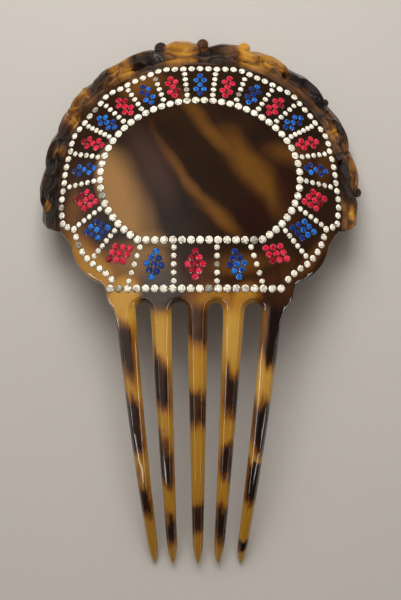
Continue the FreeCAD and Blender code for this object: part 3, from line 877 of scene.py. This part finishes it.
# Beads at the joints: turn, share across, radius, height and tone
BEADS = (
    (0.8, 0.93, 2.2, 0.3, 0.60),
    (15.6, 0.96, 2.3, 0.7, -0.05),
    (53.6, 1.02, 1.5, 0.0, 0.95),
    (89.5, 1.03, 1.8, 0.2, 0.75),
    (-13.9, 0.94, 2.4, 0.5, 0.85),
    (-47.5, 0.98, 1.3, 0.4, 0.30),
    (-88.5, 1.02, 1.5, 0.0, 0.75),
)
for number, (turn, across, radius, height, tone) in enumerate(BEADS):
    carved.append(bead(f"bead_{number + 1}", turn, across, radius, height, tone))
    finish_mesh(carved[-1])

bpy.ops.object.select_all(action="DESELECT")
for piece in carved:
    piece.select_set(True)
bpy.context.view_layer.objects.active = carved[0]
bpy.ops.object.join()
border = bpy.context.object
border.name = "carved_border"
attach(border, "root")
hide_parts("leaf_border")

carved_paint, carved_shader, border_place = new_material("carved_sheet")
# The vertex attribute read here holds the sheet's mottle together with the carving's painted shade and
# painted highlight
tone = border_place.node("ShaderNodeAttribute", {"attribute_name": "tone"}, {}, 2)
cloud = noise(border_place, 0.16, 3.0, 0.55)
tone = tone + (cloud - 0.5) * 0.7 + (noise(border_place, 0.7, 2.0) - 0.5) * 0.25
carved_stops = [
    (0.0, (0.43, 0.205, 0.022, 1)), (0.22, (0.25, 0.105, 0.013, 1)), (0.45, (0.10, 0.038, 0.010, 1)),
    (0.72, (0.036, 0.017, 0.009, 1)), (1.0, (0.012, 0.009, 0.007, 1)),
]
carved_colour = tone.node("ShaderNodeValToRGB", {"stops": carved_stops}, {"Fac": tone})
feed(carved_shader, "Base Color", carved_colour)
feed(carved_shader, "Roughness", 0.16 + noise(border_place, 0.7, 3.0) * 0.16)
carved_shader.inputs["Coat Weight"].default_value = 0.25
carved_shader.inputs["Coat Roughness"].default_value = 0.1
feed_bump(carved_shader, noise(border_place, 0.8, 3.0), 0.3, 0.0003)
border.data.materials.append(carved_paint)

# ---------------------------------------------------------------------------
# The paste stones: round cut glass backed with foil, pressed into drilled seats,
# each ringed with a dark band of painted shade for the shaded gap of its seat.
# Clear ones draw the ring, the edge line, the base row and the dividers; red
# and blue ones fill the cells between the dividers.
# ---------------------------------------------------------------------------
STONE_SIDES = 16
TABLE_HEIGHT = 0.34
PAVILION = 0.9
CROWN_RISE = 0.16
SEAT_TILT = 0.05
PASTE_ROUGHNESS = 0.1

# Facets: how many, first turn, slope from flat, height above the girdle where one meets radius 1
FACETS = ((16, 11.25, 38, 0.02), (8, 0, 33, 0.045), (8, 22.5, 21, 0.16), (8, 0, -43, -0.06))

# The dark ring of painted shade for the shaded gap of each seat, from its outside in: radius and height, for
# a stone of radius 1
SEAT_SHADOW_RING = ((1.16, -0.03), (1.02, 0.035), (0.94, -0.02))
SEAT_SHADOW_SIDES = 12


def cut_stone():
    """One stone of radius 1, its girdle at 0: a rough cylinder that is cut with flat planes."""
    bpy.ops.object.select_all(action="DESELECT")
    bpy.ops.mesh.primitive_cylinder_add(vertices=STONE_SIDES, radius=1, depth=PAVILION + TABLE_HEIGHT,
                                        location=(0, 0, (TABLE_HEIGHT - PAVILION) / 2))
    rough = bpy.context.object
    bpy.ops.object.transform_apply(location=True, rotation=False, scale=False)
    bpy.ops.object.mode_set(mode="EDIT")
    for count, first, slope, level in FACETS:
        for i in range(count):
            turn = math.radians(first + 360 * i / count)
            tilt = math.radians(abs(slope))
            rise = math.copysign(math.cos(tilt), slope)
            out = Vector((math.cos(turn) * math.sin(tilt), math.sin(turn) * math.sin(tilt), rise))
            on_plane = Vector((math.cos(turn), math.sin(turn), level))
            bpy.ops.mesh.select_all(action="SELECT")
            bpy.ops.mesh.bisect(plane_co=on_plane, plane_no=out, use_fill=True, clear_outer=True)
    bpy.ops.mesh.select_all(action="SELECT")
    bpy.ops.mesh.remove_doubles(threshold=0.004)
    bpy.ops.mesh.normals_make_consistent(inside=False)
    bpy.ops.object.mode_set(mode="OBJECT")
    return rough


def settings_of(node):
    """Where each stone of a CAD node sits: its place on the face, its direction and its radius."""
    mesh = bmesh.new()
    mesh.from_mesh(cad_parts[node].data)
    bmesh.ops.remove_doubles(mesh, verts=mesh.verts, dist=2e-6)
    seen = set()
    found = []
    for start in mesh.verts:
        if start in seen:
            continue
        seen.add(start)
        group = [start]
        for vertex in group:
            for edge in vertex.link_edges:
                other = edge.other_vert(vertex)
                if other not in seen:
                    seen.add(other)
                    group.append(other)
        middle = sum((v.co for v in group), Vector()) / len(group)
        on_plan = (middle - apex) / MM
        out = facing(on_plan.x, on_plan.y)
        above = max((v.co - middle).dot(out) for v in group)
        radius = max(((v.co - middle) - out * (v.co - middle).dot(out)).length for v in group)
        girdle = middle + out * (above - 2 * radius * CROWN_RISE)
        found.append((girdle, out, radius))
    mesh.free()
    return sorted(found, key=lambda s: (round(s[0].x, 5), round(s[0].y, 5)))


def set_stones(node, model, paste, seat_shadow, chance_dim):
    """Copies of the cut stone, each ringed with painted seat shadow, in the seats of one CAD node, as one
    piece.
    """
    rng = random.Random(node)
    points = []
    faces = []
    glints = []
    kinds = []
    for girdle, out, radius in settings_of(node):
        spin = out.to_track_quat("Z", "Y").to_matrix() @ Matrix.Rotation(rng.uniform(0, math.pi), 3, "Z")
        first = len(points)
        tilt = Matrix.Rotation(rng.uniform(-SEAT_TILT, SEAT_TILT), 3, "X")
        tilt = tilt @ Matrix.Rotation(rng.uniform(-SEAT_TILT, SEAT_TILT), 3, "Y")
        for vertex in model.data.vertices:
            points.append(girdle + spin @ (tilt @ vertex.co) * radius)
        dim = rng.random() < chance_dim
        bright = rng.uniform(0.3, 0.5) if dim else rng.uniform(0.85, 1.0)
        shine = rng.random()
        for face in model.data.polygons:
            faces.append([first + i for i in face.vertices])
            flat = face.normal.z
            spread = rng.random()
            # Painted reflections: the table mostly light and sometimes dark, the ring of star facets dark,
            # and most other facets bright, as light thrown back by each facet
            if flat > 0.98:
                glint = 0.66 + 0.26 * spread if shine > 0.12 else 0.40 + 0.25 * spread
            elif flat > 0.9:
                glint = rng.uniform(0.15, 0.65)
            else:
                glint = rng.uniform(0.85, 1.0) if spread < 0.75 else rng.uniform(0.15, 0.5)
            glints.append(glint * bright)
            kinds.append(0)
        for run, level in SEAT_SHADOW_RING:
            for i in range(SEAT_SHADOW_SIDES):
                turn = 2 * math.pi * i / SEAT_SHADOW_SIDES
                rim = Vector((math.cos(turn) * run, math.sin(turn) * run, level))
                points.append(girdle + spin @ rim * radius)
        for loop in range(len(SEAT_SHADOW_RING) - 1):
            a = first + len(model.data.vertices) + loop * SEAT_SHADOW_SIDES
            b = a + SEAT_SHADOW_SIDES
            for i in range(SEAT_SHADOW_SIDES):
                j = (i + 1) % SEAT_SHADOW_SIDES
                faces.append([a + i, a + j, b + j, b + i])
                glints.append(0.0)
                kinds.append(1)
    made = piece_from(node.replace("_stones", "") + "_paste", points, faces)
    made.data.materials.append(paste)
    made.data.materials.append(seat_shadow)
    glint_layer = made.data.attributes.new("glint", "FLOAT", "FACE")
    for item, value in zip(glint_layer.data, glints):
        item.value = value
    for face, kind in zip(made.data.polygons, kinds):
        face.material_index = kind
    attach(made, "root")
    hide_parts(node)


def paste_material(name, deep, middle, clear, bright):
    """Foil-backed glass: each facet's colour carries a painted reflection, lighter or darker by its glint."""
    paint, shader, place = new_material(name)
    glint = place.node("ShaderNodeAttribute", {"attribute_name": "glint"}, {}, 2)
    # Painted reflection marks: noise makes the facets' painted light uneven
    glint = glint + (noise(place, 1.9, 2.0) - 0.5) * 0.9
    stops = [(0.0, deep), (0.38, middle), (0.70, clear), (1.0, bright)]
    colour = glint.node("ShaderNodeValToRGB", {"stops": stops}, {"Fac": glint})
    feed(shader, "Base Color", colour)
    feed(shader, "Roughness", PASTE_ROUGHNESS + noise(place, 1.5, 1.0) * 0.08)
    shader.inputs["Coat Weight"].default_value = 0.7
    shader.inputs["Coat Roughness"].default_value = 0.03
    return paint


# Painted shade: a near-black ring stands in for the shaded gap between each stone and its seat
seat_shadow_paint, seat_shadow_shader, seat_shadow_place = new_material("seat_cement")
seat_shadow_tone = noise(seat_shadow_place, 1.2, 2.0)
feed(seat_shadow_shader, "Base Color", seat_shadow_tone.mix((0.012, 0.009, 0.007, 1), (0.05, 0.035, 0.022, 1)))
seat_shadow_shader.inputs["Roughness"].default_value = 0.6

# Each paste's ramp runs from the painted shade of a dark facet to the painted highlight of a bright one
CLEAR_COLOURS = ((0.05, 0.042, 0.035), (0.36, 0.33, 0.27), (0.84, 0.79, 0.66), (1.0, 0.965, 0.85))
RED_COLOURS = ((0.06, 0.001, 0.005), (0.28, 0.003, 0.014), (0.52, 0.006, 0.029), (0.85, 0.045, 0.10))
BLUE_COLOURS = ((0.003, 0.008, 0.05), (0.005, 0.028, 0.20), (0.008, 0.070, 0.40), (0.02, 0.28, 0.85))
clear_paste = paste_material("clear_paste", *CLEAR_COLOURS)
red_paste = paste_material("red_paste", *RED_COLOURS)
blue_paste = paste_material("blue_paste", *BLUE_COLOURS)

stone_model = cut_stone()
for node in sorted(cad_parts):
    if node.startswith("ruby"):
        set_stones(node, stone_model, red_paste, seat_shadow_paint, 0.12)
    elif node.startswith("sapphire"):
        set_stones(node, stone_model, blue_paste, seat_shadow_paint, 0.3)
    elif node not in ("comb_blank", "leaf_border"):
        set_stones(node, stone_model, clear_paste, seat_shadow_paint, 0.04)
bpy.data.objects.remove(stone_model)
